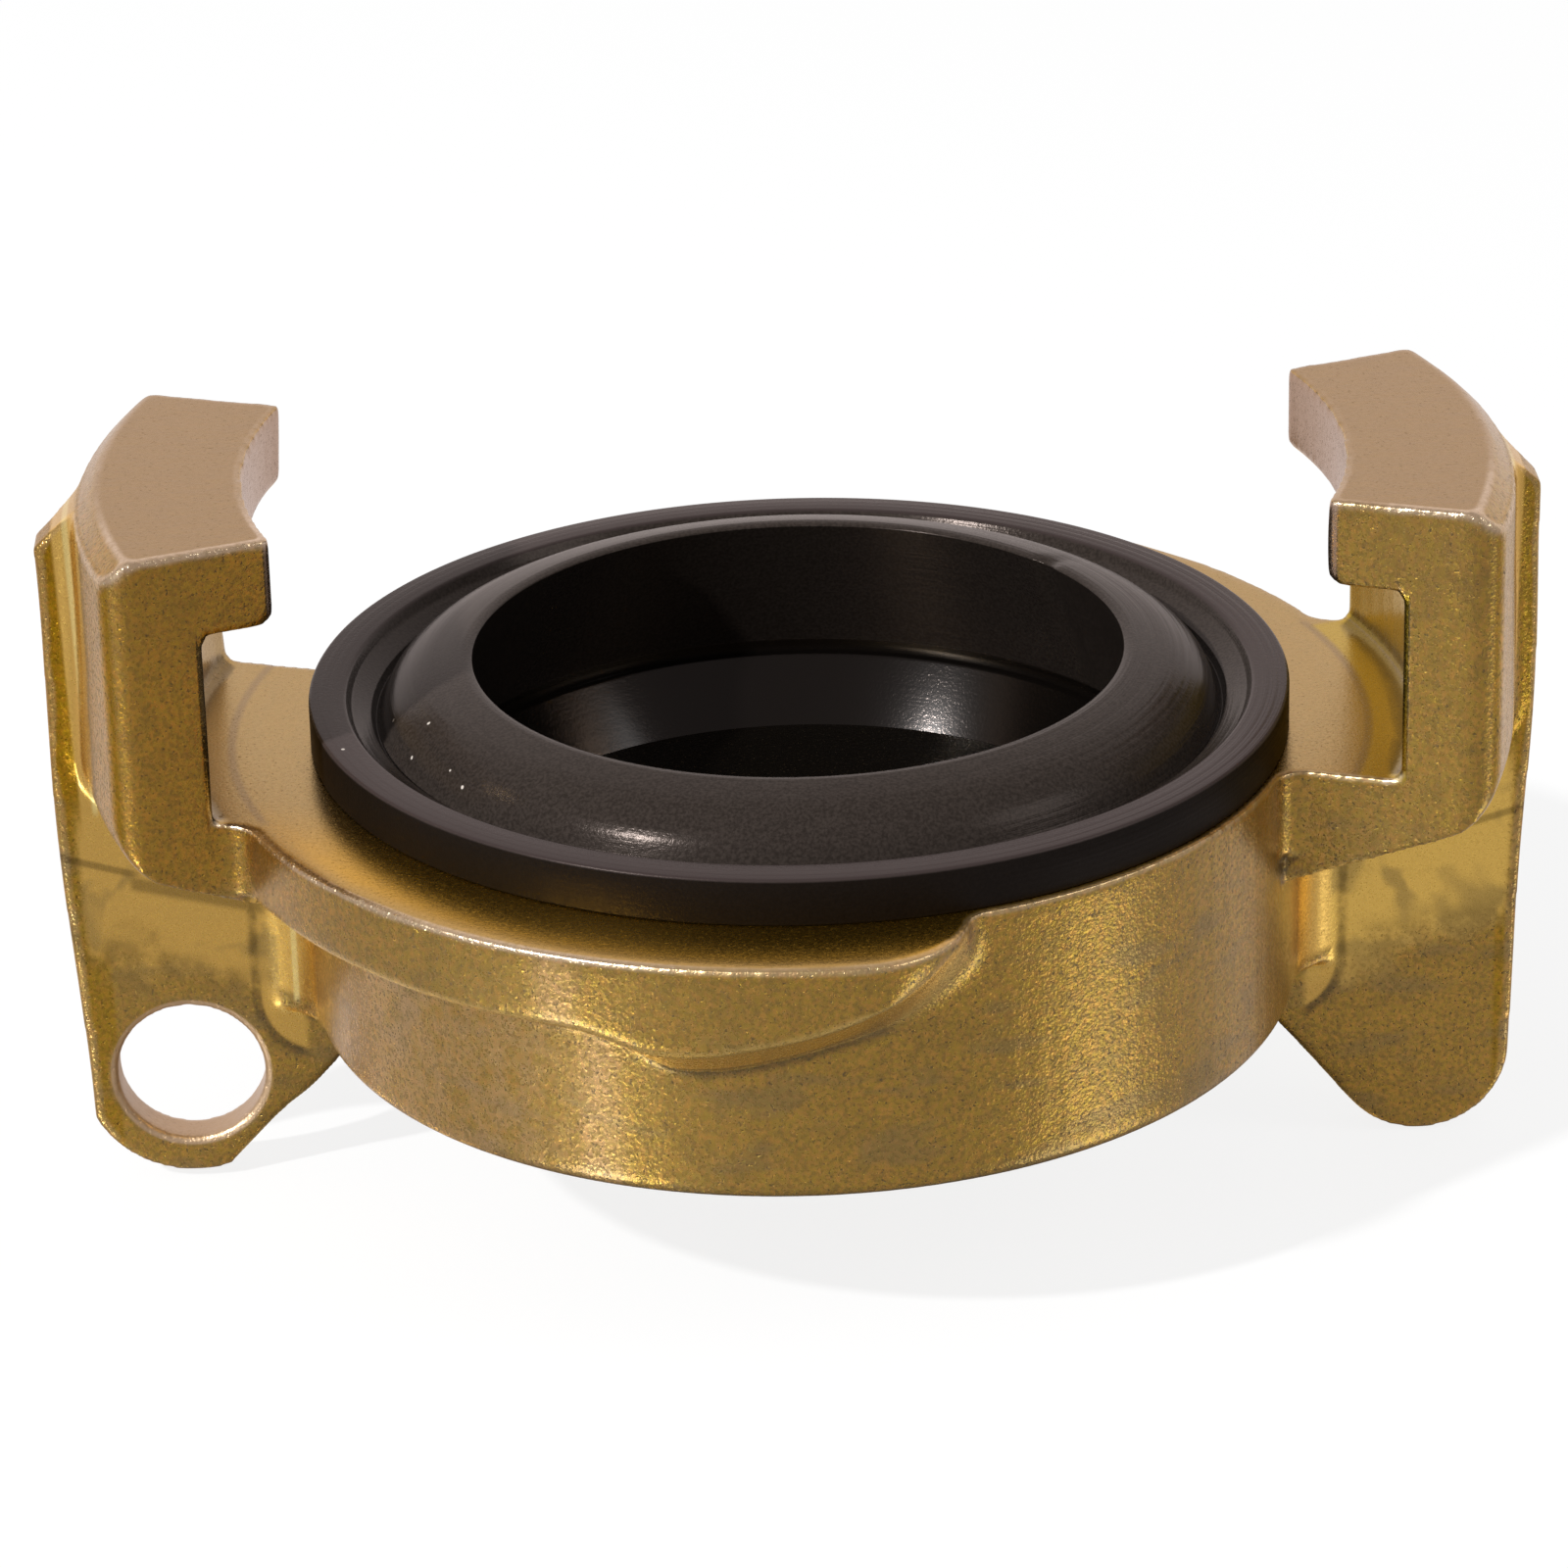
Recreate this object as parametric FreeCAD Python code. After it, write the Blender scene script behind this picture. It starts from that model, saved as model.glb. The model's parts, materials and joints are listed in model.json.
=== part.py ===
import FreeCAD, Part
import math
import os

# Blanking cap of a claw-type quick hose coupling: a forged brass cap with two hooked claws,
# a ramped bayonet flange and two fins, and the rubber seal ring that snaps into it.
# Millimetres and degrees. The origin is on the cap's axis, in the machined flange face, and
# +Z points out of the cap towards the coupling that it closes. Both halves of the cap are
# alike, turned by 180 degrees, apart from the chain eye. Angles are measured from the middle
# of a claw, the way the coupling turns when it closes.

# Cup
body_radius = 17.0
body_depth = 9.6
floor_thickness = 4.2
body_edge_round = 0.4
groove_radius = 15.0
groove_lip_radius = 14.3
groove_lip_height = 0.9

# Bayonet flange: one wing beside each claw, thin where a hook comes to rest, deeper at the
# hump that the hook has to climb over, and running up to the face where the hook comes in
flange_radius = 20.0
seat_rim = 2.6
hump_rim = 3.15
seat_slope = 22.0
ramp_slope = 35.0
seat_end_angle = 66.0
hump_start_angle = 74.0
hump_end_angle = 78.0
ramp_top_angle = 101.5
wing_end_angle = 107.3
wing_corner_round = 4.0
wing_root_reach = 0.9
wing_root_drop = 0.36
wing_end_drop = 2.7
wing_end_root_start = 88.0
wing_end_fillet = 0.8
ramp_station_step = 3.5

# Claws
claw_half_angle = 20.0
claw_height = 9.8
claw_outer_radius = 24.2
claw_bevel = 0.8
claw_corner_round = 1.0
claw_foot_round = 2.5
claw_foot_rim = 3.0
claw_foot_slope = 22.0
hook_thickness = 3.0
hook_bore_radius = 18.5
hook_edge_round = 0.5
post_bore_radius = 21.0
slot_corner_round = 0.4

# Vertical fillets where the claw's flanks meet the wall and the flange rim
wall_fillet = 1.0
rim_fillet = 1.0

# Fins: one ends in an ear with the chain eye, the other in a slimmer plain ear
fin_thickness = 1.6
fin_heel_radius = 14.5
ear_centre_radius = 21.5
eye_fin_top_radius = 25.7
eye_ear_drop = 2.6
chain_eye_radius = 2.55
eye_foot_wall = 1.3
eye_edge_wall = 0.95
eye_heel_wall = 0.8
plain_fin_top_radius = 25.3
plain_ear_drop = 3.6
plain_ear_radius = 3.1
claw_root_fillet = 0.95
wall_root_fillet = 2.6
wall_root_toe_angle = 15.0

# Seal ring
seal_clearance = 0.05
lip_radius = 16.75
lip_height = 1.64
lip_edge_round = 0.3
lip_top_width = 1.28
step_height = 1.25
crevice_radius = 14.45
crevice_height = 0.95
crevice_depth = 0.25
crown_height = 2.85
crown_bulge = 0.35
mouth_radius = 11.05
mouth_round = 0.3
pocket_radius = 13.4
pocket_depth = 3.0
foot_bore_radius = 12.0

# Sizes worked out from the driving ones
overlap = 0.5
same_place = 0.005
wall_middle_radius = (groove_radius + body_radius) / 2
post_middle_radius = (post_bore_radius + claw_outer_radius) / 2
body_bottom = -body_depth
floor_top = body_bottom + floor_thickness
hook_underside = claw_height - hook_thickness
claw_top_radius = claw_outer_radius - claw_bevel
wing_start_angle = claw_half_angle / 2
wing_root_radius = body_radius + wing_root_reach
cutter_depth = 2 * body_depth
eye_ear_radius = chain_eye_radius + eye_foot_wall
eye_height = body_bottom - eye_ear_drop

z_axis = FreeCAD.Vector(0, 0, 1)
origin = FreeCAD.Vector(0, 0, 0)


def polar(radius, angle, height=0.0):
    turn = math.radians(angle)
    return FreeCAD.Vector(radius * math.cos(turn), radius * math.sin(turn), height)


def profile_point(radius, height):
    return FreeCAD.Vector(radius, 0, height)


def arc(first, middle, last):
    return Part.Arc(first, middle, last).toShape()


def line(first, last):
    return Part.makeLine(first, last)


def round_corner(before, corner, after, radius):
    # Where a fillet of this radius leaves both edges of a corner, and its middle point
    to_before = (before - corner).normalize()
    to_after = (after - corner).normalize()
    half_angle = to_before.getAngle(to_after) / 2
    reach = radius / math.tan(half_angle)
    bisector = (to_before + to_after).normalize()
    centre = corner + bisector * (radius / math.sin(half_angle))
    return corner + to_before * reach, centre - bisector * radius, corner + to_after * reach


def rounded_outline(corners):
    # A closed wire through (point, fillet radius) corners, straight between its fillets
    edges = []
    ends = []
    count = len(corners)
    for index, (corner, radius) in enumerate(corners):
        if radius > 0:
            before = corners[index - 1][0]
            after = corners[(index + 1) % count][0]
            start, middle, end = round_corner(before, corner, after, radius)
            edges.append(arc(start, middle, end))
            ends.append((start, end))
        else:
            ends.append((corner, corner))
    for index in range(count):
        leaving = ends[index][1]
        arriving = ends[(index + 1) % count][0]
        edges.append(line(leaving, arriving))
    return Part.Wire(Part.__sortEdges__(edges))


def turned(wire):
    return Part.Face(wire).revolve(origin, z_axis, 360)


def raised(wire, height):
    return Part.Face(wire).extrude(FreeCAD.Vector(0, 0, height))


def slope_drop(reach, slope):
    return reach * math.tan(math.radians(slope))


def ease(share):
    # Runs smoothly from 0 to 1 as its share does
    share = min(max(share, 0.0), 1.0)
    return share * share * (3 - 2 * share)


def cup():
    corners = [
        (profile_point(0, body_bottom), 0),
        (profile_point(body_radius, body_bottom), body_edge_round),
        (profile_point(body_radius, 0), 0),
        (profile_point(groove_lip_radius, 0), 0),
        (profile_point(groove_lip_radius, -groove_lip_height), 0),
        (profile_point(groove_radius, -groove_lip_height), 0),
        (profile_point(groove_radius, floor_top), 0),
        (profile_point(0, floor_top), 0),
    ]
    return turned(rounded_outline(corners))


def rim_edge_height(angle):
    # Height of the flange rim's lower edge: the level seat, the hump, then the run-in ramp,
    # which climbs evenly at first and turns up steeply towards the flange face
    hump_share = (angle - seat_end_angle) / (hump_start_angle - seat_end_angle)
    if angle <= hump_end_angle:
        return -seat_rim - (hump_rim - seat_rim) * ease(hump_share)
    climb = (angle - hump_end_angle) / (ramp_top_angle - hump_end_angle)
    return -hump_rim * (1 - (climb + climb ** 4) / 2)


def underside_slope(angle):
    share = (angle - seat_end_angle) / (hump_start_angle - seat_end_angle)
    return seat_slope + (ramp_slope - seat_slope) * ease(share)


def root_fall(angle):
    # How far the underside falls across its root, the strip beside the wall. It grows into a
    # steep cove where the ramp ends
    share = (angle - wing_end_root_start) / (wing_end_angle - wing_end_root_start)
    return wing_root_drop + (wing_end_drop - wing_root_drop) * min(max(share, 0.0), 1.0) ** 2


def underside_height(radius, angle):
    root_top = (rim_edge_height(angle)
                + slope_drop(wing_root_radius - flange_radius, underside_slope(angle)))
    if radius < wing_root_radius:
        return root_top - root_fall(angle) * (wing_root_radius - radius) / wing_root_reach
    return root_top + slope_drop(radius - wing_root_radius, underside_slope(angle))


def underside_curve(radius):
    span = wing_end_angle + ramp_station_step - wing_start_angle
    count = math.ceil(span / ramp_station_step)
    angles = [wing_start_angle + span * index / count for index in range(count + 1)]
    points = [polar(radius, angle, underside_height(radius, angle)) for angle in angles]
    curve = Part.BSplineCurve()
    curve.interpolate(Points=points, Parameters=angles)
    return curve.toShape()


def ramp_cutter():
    # Everything under the wing: ruled faces that slope down to the root and on to the wall,
    # pulled down
    inside = underside_curve(wall_middle_radius - overlap)
    root = underside_curve(wing_root_radius)
    outside = underside_curve(flange_radius + overlap)
    down = FreeCAD.Vector(0, 0, -cutter_depth)
    root_strip = Part.makeRuledSurface(inside, root).extrude(down)
    return root_strip.fuse(Part.makeRuledSurface(root, outside).extrude(down))


def wing_outline():
    # From above: round the rim, in along the rounded corner, and out of it into the wall
    corner_circle = flange_radius - wing_corner_round
    corner_turn = math.degrees(math.asin(wing_corner_round / corner_circle))
    corner_angle = wing_end_angle - corner_turn
    corner_centre = polar(corner_circle, corner_angle)
    fillet_circle = body_radius + wing_end_fillet
    between = wing_corner_round + wing_end_fillet
    cosine = ((corner_circle ** 2 + fillet_circle ** 2 - between ** 2)
              / (2 * corner_circle * fillet_circle))
    fillet_angle = corner_angle + math.degrees(math.acos(cosine))
    fillet_centre = polar(fillet_circle, fillet_angle)
    rim_start = polar(flange_radius, wing_start_angle)
    rim_middle = polar(flange_radius, (wing_start_angle + corner_angle) / 2)
    rim_end = polar(flange_radius, corner_angle)
    to_fillet = (fillet_centre - corner_centre).normalize()
    leaving = corner_centre + to_fillet * wing_corner_round
    corner_facing = (polar(1, corner_angle) + to_fillet).normalize()
    on_wall = polar(body_radius, fillet_angle)
    fillet_facing = ((leaving + on_wall) / 2 - fillet_centre).normalize()
    return Part.Wire([
        line(origin, rim_start),
        arc(rim_start, rim_middle, rim_end),
        arc(rim_end, corner_centre + corner_facing * wing_corner_round, leaving),
        arc(leaving, fillet_centre + fillet_facing * wing_end_fillet, on_wall),
        line(on_wall, origin),
    ])


def wing():
    plate = raised(wing_outline(), body_bottom)
    core = Part.makeCylinder(wall_middle_radius, body_depth, FreeCAD.Vector(0, 0, body_bottom))
    return plate.cut(core).cut(ramp_cutter())


def claw_section():
    foot_inner = -claw_foot_rim - slope_drop(flange_radius - wall_middle_radius, claw_foot_slope)
    foot_outer = -claw_foot_rim + slope_drop(claw_outer_radius - flange_radius, claw_foot_slope)
    return rounded_outline([
        (profile_point(wall_middle_radius, foot_inner), 0),
        (profile_point(wall_middle_radius, 0), 0),
        (profile_point(post_bore_radius, 0), slot_corner_round),
        (profile_point(post_bore_radius, hook_underside), slot_corner_round),
        (profile_point(hook_bore_radius, hook_underside), hook_edge_round),
        (profile_point(hook_bore_radius, claw_height), 0),
        (profile_point(claw_outer_radius, claw_height), 0),
        (profile_point(claw_outer_radius, foot_outer), claw_foot_round),
    ])


def claw_plan():
    # The claw from above: radial flanks, and rounded corners to its outer wall
    corner_circle = claw_outer_radius - claw_corner_round
    corner_turn = math.degrees(math.asin(claw_corner_round / corner_circle))
    flank_radius = math.sqrt(corner_circle ** 2 - claw_corner_round ** 2)
    corner_angle = claw_half_angle - corner_turn
    points = {}
    for side in (-1, 1):
        centre = polar(corner_circle, side * corner_angle)
        facing = side * (corner_angle + claw_half_angle + 90) / 2
        points[side] = (
            polar(flank_radius, side * claw_half_angle),
            centre + polar(claw_corner_round, facing),
            polar(claw_outer_radius, side * corner_angle),
        )
    near_flank, near_corner, near_wall = points[-1]
    far_flank, far_corner, far_wall = points[1]
    outer = polar(claw_outer_radius, 0)
    return Part.Wire([
        line(origin, near_flank),
        arc(near_flank, near_corner, near_wall),
        arc(near_wall, outer, far_wall),
        arc(far_wall, far_corner, far_flank),
        line(far_flank, origin),
    ])


def claw():
    hook = turned(claw_section())
    wedge = raised(claw_plan(), claw_height + body_depth)
    wedge.translate(FreeCAD.Vector(0, 0, body_bottom))
    return hook.common(wedge)


def flank_fillet(wall_radius, fillet, side, depth):
    # Fills the corner between a round wall and a claw's flank, from the flange face down
    centre_radius = wall_radius + fillet
    turn = math.degrees(math.asin(fillet / centre_radius))
    centre = polar(centre_radius, side * (claw_half_angle + turn))
    on_flank = math.sqrt(centre_radius ** 2 - fillet ** 2)
    inside_angle = side * (claw_half_angle - turn)
    flank_point = polar(on_flank, side * claw_half_angle)
    wall_point = polar(wall_radius, side * (claw_half_angle + turn))
    towards_corner = (polar(wall_radius, side * claw_half_angle) - centre).normalize()
    outline = Part.Wire([
        arc(flank_point, centre + towards_corner * fillet, wall_point),
        line(wall_point, polar(wall_radius - overlap, side * (claw_half_angle + turn))),
        line(polar(wall_radius - overlap, side * (claw_half_angle + turn)),
             polar(wall_radius - overlap, inside_angle)),
        line(polar(wall_radius - overlap, inside_angle), polar(on_flank, inside_angle)),
        line(polar(on_flank, inside_angle), flank_point),
    ])
    return raised(outline, -depth)


def edge_past_ear(start, centre, cover, ear_radius, turn_way):
    # A straight edge from a point past an ear's centre, this far beside it, to where the edge
    # leaves the round of the ear
    cover = min(cover, ear_radius)
    to_centre = centre - start
    bearing = math.atan2(to_centre.z, to_centre.x) + turn_way * math.asin(cover / to_centre.Length)
    along = profile_point(math.cos(bearing), math.sin(bearing))
    return start + along * (to_centre.dot(along) + math.sqrt(ear_radius ** 2 - cover ** 2))


def fin(top_radius, ear_drop, ear_radius, edge_cover, heel_cover):
    # Seen from the front: a straight outer edge, a round ear at the foot, and a slanted heel
    # that runs back under the cap. The top is left square for the bevel
    centre = profile_point(ear_centre_radius, body_bottom - ear_drop)
    top = profile_point(top_radius, claw_height)
    heel = profile_point(fin_heel_radius, body_bottom)
    foot = edge_past_ear(top, centre, edge_cover, ear_radius, 1)
    heel_end = edge_past_ear(heel, centre, heel_cover, ear_radius, -1)
    buried_bottom = body_bottom + overlap
    corners = [
        foot,
        top,
        profile_point(post_middle_radius, claw_height),
        profile_point(post_middle_radius, 0),
        profile_point(wall_middle_radius, -claw_foot_rim),
        profile_point(wall_middle_radius, buried_bottom),
        profile_point(fin_heel_radius, buried_bottom),
        heel,
        heel_end,
    ]
    edges = [line(first, last) for first, last in zip(corners, corners[1:])]
    edges.append(arc(heel_end, centre - z_axis * ear_radius, foot))
    plate = Part.Face(Part.Wire(edges)).extrude(FreeCAD.Vector(0, fin_thickness, 0))
    plate.translate(FreeCAD.Vector(0, -fin_thickness / 2, 0))
    return plate


def claw_roots(shape):
    # The concave edges that the fin's flat faces make with the claw's turned outer faces
    roots = []
    for edge in shape.Edges:
        faces = shape.ancestorsOfType(edge, Part.Face)
        flat = [face for face in faces if isinstance(face.Surface, Part.Plane)]
        round_about_z = [face for face in faces if not isinstance(face.Surface, Part.Plane)
                         and abs(face.Surface.Axis.z) > abs(face.Surface.Axis.y)]
        on_fin = all(abs(abs(end.Y) - fin_thickness / 2) < same_place for end in edge.Vertexes)
        if flat and round_about_z and on_fin:
            roots.append(edge)
    return roots


def bevel_cutter():
    # The 45 degree bevel along the top outer edge of a claw, carried on across its fin
    reach = max(eye_fin_top_radius, plain_fin_top_radius) + overlap
    drop = reach - claw_top_radius
    return turned(Part.Wire([
        line(profile_point(claw_top_radius - overlap, claw_height + overlap),
             profile_point(reach, claw_height - drop)),
        line(profile_point(reach, claw_height - drop), profile_point(reach, claw_height + overlap)),
        line(profile_point(reach, claw_height + overlap),
             profile_point(claw_top_radius - overlap, claw_height + overlap)),
    ]))


def wall_root():
    # The flare where a fin grows out of the cup's wall. It meets the fin's faces at the toe
    # angle, as a forging die leaves it
    half = fin_thickness / 2
    toe_turn = math.radians(wall_root_toe_angle)
    centre_circle = body_radius + wall_root_fillet
    centre_side = half + wall_root_fillet * math.cos(toe_turn)
    centre_out = math.sqrt(centre_circle ** 2 - centre_side ** 2)
    toe_out = centre_out - wall_root_fillet * math.sin(toe_turn)
    inner = wall_middle_radius
    edges = []
    for side in (-1, 1):
        centre = FreeCAD.Vector(centre_out, side * centre_side, 0)
        toe = FreeCAD.Vector(toe_out, side * half, 0)
        on_wall = centre * (body_radius / centre_circle)
        middle = centre + ((toe + on_wall) / 2 - centre).normalize() * wall_root_fillet
        inside = FreeCAD.Vector(inner, side * centre_side, 0)
        edges += [arc(toe, middle, on_wall), line(on_wall, inside)]
    edges.append(line(FreeCAD.Vector(inner, -centre_side, 0), FreeCAD.Vector(inner, centre_side, 0)))
    edges.append(line(FreeCAD.Vector(toe_out, -half, 0), FreeCAD.Vector(toe_out, half, 0)))
    flare = raised(Part.Wire(Part.__sortEdges__(edges)), body_depth - claw_foot_rim)
    flare.translate(FreeCAD.Vector(0, 0, body_bottom))
    return flare


def half_of_cap(fin_plate):
    finned_claw = claw().fuse(fin_plate)
    rooted_claw = finned_claw.makeFillet(claw_root_fillet, claw_roots(finned_claw))
    wall_side = flank_fillet(body_radius, wall_fillet, -1, claw_foot_rim)
    rim_side = flank_fillet(flange_radius, rim_fillet, 1, seat_rim)
    return [wing(), rooted_claw.cut(bevel_cutter()), wall_side, rim_side, wall_root()]


def chain_eye():
    start = FreeCAD.Vector(-ear_centre_radius, -fin_thickness, eye_height)
    return Part.makeCylinder(chain_eye_radius, 2 * fin_thickness, start, FreeCAD.Vector(0, 1, 0))


def cap_body():
    plain_fin = fin(plain_fin_top_radius, plain_ear_drop, plain_ear_radius,
                    plain_ear_radius, plain_ear_radius)
    eye_fin = fin(eye_fin_top_radius, eye_ear_drop, eye_ear_radius,
                  chain_eye_radius + eye_edge_wall, chain_eye_radius + eye_heel_wall)
    pieces = []
    for fin_plate, turn in ((plain_fin, 0), (eye_fin, 180)):
        for piece in half_of_cap(fin_plate):
            pieces.append(piece.rotated(origin, z_axis, turn))
    return cup().fuse(pieces).cut(chain_eye()).removeSplitter()


def seal_ring():
    # The section, once round: foot in the groove, neck, lip on the flange face, step,
    # crevice, crown, mouth, and the pocket that lets water press the crown outwards
    foot_radius = groove_radius - seal_clearance
    neck_radius = groove_lip_radius - seal_clearance
    neck_bottom = -groove_lip_height - seal_clearance
    lip_inner = lip_radius - lip_top_width
    step_radius = lip_inner - (lip_height - step_height) / 2
    lip_bottom = profile_point(lip_radius, 0)
    lip_top = profile_point(lip_inner, lip_height)
    lip_corner = profile_point(lip_radius, lip_height)
    lip_round = round_corner(lip_bottom, lip_corner, lip_top, lip_edge_round)
    crevice_bottom = profile_point(crevice_radius, crevice_height - crevice_depth)
    crown_foot = profile_point(crevice_radius - crevice_depth / 2, crevice_height)
    pocket = profile_point(pocket_radius, -pocket_depth)
    crown_level = profile_point(crevice_radius, crown_height)
    mouth_corner = profile_point(mouth_radius, crown_height)
    crown_top, mouth_middle, mouth = round_corner(crown_level, mouth_corner, pocket, mouth_round)
    chord = crown_foot - crown_top
    outwards = FreeCAD.Vector(-chord.z, 0, chord.x).normalize()
    crown_middle = (crown_foot + crown_top) / 2 + outwards * crown_bulge
    edges = [
        line(profile_point(foot_bore_radius, floor_top), profile_point(foot_radius, floor_top)),
        line(profile_point(foot_radius, floor_top), profile_point(foot_radius, neck_bottom)),
        line(profile_point(foot_radius, neck_bottom), profile_point(neck_radius, neck_bottom)),
        line(profile_point(neck_radius, neck_bottom), profile_point(neck_radius, 0)),
        line(profile_point(neck_radius, 0), lip_bottom),
        line(lip_bottom, lip_round[0]),
        arc(*lip_round),
        line(lip_round[2], lip_top),
        line(lip_top, profile_point(step_radius, step_height)),
        line(profile_point(step_radius, step_height),
             profile_point(crevice_radius + crevice_depth / 2, crevice_height)),
        line(profile_point(crevice_radius + crevice_depth / 2, crevice_height), crevice_bottom),
        line(crevice_bottom, crown_foot),
        arc(crown_foot, crown_middle, crown_top),
        arc(crown_top, mouth_middle, mouth),
        line(mouth, pocket),
        line(pocket, profile_point(foot_bore_radius, floor_top)),
    ]
    return turned(Part.Wire(edges))


def main():
    os.makedirs("parts", exist_ok=True)
    nodes = {"cap_body": cap_body(), "seal_ring": seal_ring()}
    for name, shape in nodes.items():
        shape.exportStep("parts/" + name + ".step")
        box = shape.optimalBoundingBox()
        print(name, "solids", len(shape.Solids), "valid", shape.isValid(),
              "volume", round(shape.Volume, 1), "mm3, box",
              round(box.XLength, 2), round(box.YLength, 2), round(box.ZLength, 2))


main()
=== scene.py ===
import json
import math
import bpy
import numpy as np
from mathutils import Matrix, Vector

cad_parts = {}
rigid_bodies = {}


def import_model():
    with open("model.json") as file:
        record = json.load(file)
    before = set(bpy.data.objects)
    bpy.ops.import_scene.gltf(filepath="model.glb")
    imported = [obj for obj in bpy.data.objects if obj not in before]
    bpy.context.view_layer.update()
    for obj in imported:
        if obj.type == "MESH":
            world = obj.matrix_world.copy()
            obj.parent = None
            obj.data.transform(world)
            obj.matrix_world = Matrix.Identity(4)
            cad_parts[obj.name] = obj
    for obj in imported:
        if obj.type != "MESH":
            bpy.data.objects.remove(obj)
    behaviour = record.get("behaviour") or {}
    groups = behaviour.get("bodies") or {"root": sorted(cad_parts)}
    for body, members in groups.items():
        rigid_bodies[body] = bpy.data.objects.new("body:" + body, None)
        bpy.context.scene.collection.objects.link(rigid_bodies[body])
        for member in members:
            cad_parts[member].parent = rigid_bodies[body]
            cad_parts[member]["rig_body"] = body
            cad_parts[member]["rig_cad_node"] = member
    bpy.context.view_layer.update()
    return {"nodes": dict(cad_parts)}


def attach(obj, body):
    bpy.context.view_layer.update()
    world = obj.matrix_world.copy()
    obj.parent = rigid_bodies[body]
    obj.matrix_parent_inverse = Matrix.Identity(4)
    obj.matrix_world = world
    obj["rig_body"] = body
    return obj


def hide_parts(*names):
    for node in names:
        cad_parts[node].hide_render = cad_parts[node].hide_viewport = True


# Blanking cap of a claw-type hose coupling: forged brass body, snap-in black rubber seal.
# The frame is in metres. Sizes in the dictionaries below are in millimetres.
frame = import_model()
mm = 0.001


def deselectAll():
    bpy.ops.object.select_all(action="DESELECT")


def makeActive(piece):
    deselectAll()
    piece.select_set(True)
    bpy.context.view_layer.objects.active = piece


def applyModifier(piece, kind, **settings):
    makeActive(piece)
    modifier = piece.modifiers.new(kind.lower(), kind)
    for name, value in settings.items():
        setattr(modifier, name, value)
    bpy.ops.object.modifier_apply(modifier=modifier.name)


def editAll(piece):
    makeActive(piece)
    bpy.ops.object.mode_set(mode="EDIT")
    bpy.ops.mesh.select_all(action="SELECT")


def leaveEdit():
    bpy.ops.object.mode_set(mode="OBJECT")


class Wire:
    # One output socket of a node. Sums and products of wires and numbers add the Math nodes
    def __init__(self, bench, socket):
        self.bench = bench
        self.socket = socket

    def maths(self, operation, first, second=0.0):
        return self.bench.add("ShaderNodeMath", {"operation": operation}, {0: first, 1: second})

    def __add__(self, other):
        return self.maths("ADD", self, other)

    def __radd__(self, other):
        return self.maths("ADD", other, self)

    def __sub__(self, other):
        return self.maths("SUBTRACT", self, other)

    def __rsub__(self, other):
        return self.maths("SUBTRACT", other, self)

    def __mul__(self, other):
        return self.maths("MULTIPLY", self, other)

    def __rmul__(self, other):
        return self.maths("MULTIPLY", other, self)

    def __truediv__(self, other):
        return self.maths("DIVIDE", self, other)

    def __pow__(self, other):
        return self.maths("POWER", self, other)

    def __abs__(self):
        return self.maths("ABSOLUTE", self)

    def least(self, other):
        return self.maths("MINIMUM", self, other)

    def most(self, other):
        return self.maths("MAXIMUM", self, other)

    def ramp(self, low, high):
        # 0 below low, 1 above high, smooth in between; low may be the larger one
        return self.bench.add("ShaderNodeMapRange", {"interpolation_type": "SMOOTHSTEP"},
                              {"Value": self, "From Min": low, "From Max": high})

    def band(self, low, high, blur):
        # 1 from low to high, 0 further out than the blur
        return self.ramp(low - blur, low) * self.ramp(high + blur, high)


class Bench:
    # The nodes of one material or world
    def __init__(self, owner):
        owner.use_nodes = True
        self.tree = owner.node_tree
        self.tree.nodes.clear()

    def add(self, kind, settings=None, values=None, output=0):
        node = self.tree.nodes.new(kind)
        for name, value in (settings or {}).items():
            setattr(node, name, value)
        for name, value in (values or {}).items():
            socket = node.inputs[name]
            if isinstance(value, Wire):
                self.tree.links.new(value.socket, socket)
            else:
                socket.default_value = value
        return Wire(self, node.outputs[output]) if len(node.outputs) else node

    def other(self, wire, output):
        # Another output of the same node
        return Wire(self, wire.socket.node.outputs[output])

    def scaled(self, vector, factor):
        return self.add("ShaderNodeVectorMath", {"operation": "SCALE"}, {0: vector, "Scale": factor})

    def noise(self, where, scale, detail, rough, distortion=0.0):
        return self.add("ShaderNodeTexNoise", {"noise_dimensions": "3D"}, {
            "Vector": where, "Scale": scale, "Detail": detail, "Roughness": rough,
            "Distortion": distortion})

    def mix(self, share, first, second, blend="MIX"):
        node = self.add("ShaderNodeMix", {"data_type": "RGBA", "blend_type": blend}, {0: share}, 2)
        for index, value in ((6, first), (7, second)):
            socket = node.socket.node.inputs[index]
            if isinstance(value, Wire):
                self.tree.links.new(value.socket, socket)
            else:
                socket.default_value = (*value, 1.0)
        return node

    def vector(self, operation, first, second=(0.0, 0.0, 0.0)):
        output = "Value" if operation in ("DISTANCE", "LENGTH") else "Vector"
        return self.add("ShaderNodeVectorMath", {"operation": operation}, {0: first, 1: second}, output)


class Surface(dict):
    # The lengths, textures and masks that a finish goes by, each one wire under its name
    def __init__(self, zones):
        super().__init__()
        self.zones = zones

    def at(self, zone):
        # 1 in the zone, 0 outside it. Two limits are where a ramp is 0 and where it is 1, three
        # are the ends of a band and its blur
        parts = [self[name].band(*ends) if len(ends) == 3 else self[name].ramp(*ends)
                 for name, ends in self.zones[zone].items()]
        share = parts[0]
        for part in parts[1:]:
            share = share * part
        return share


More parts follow.
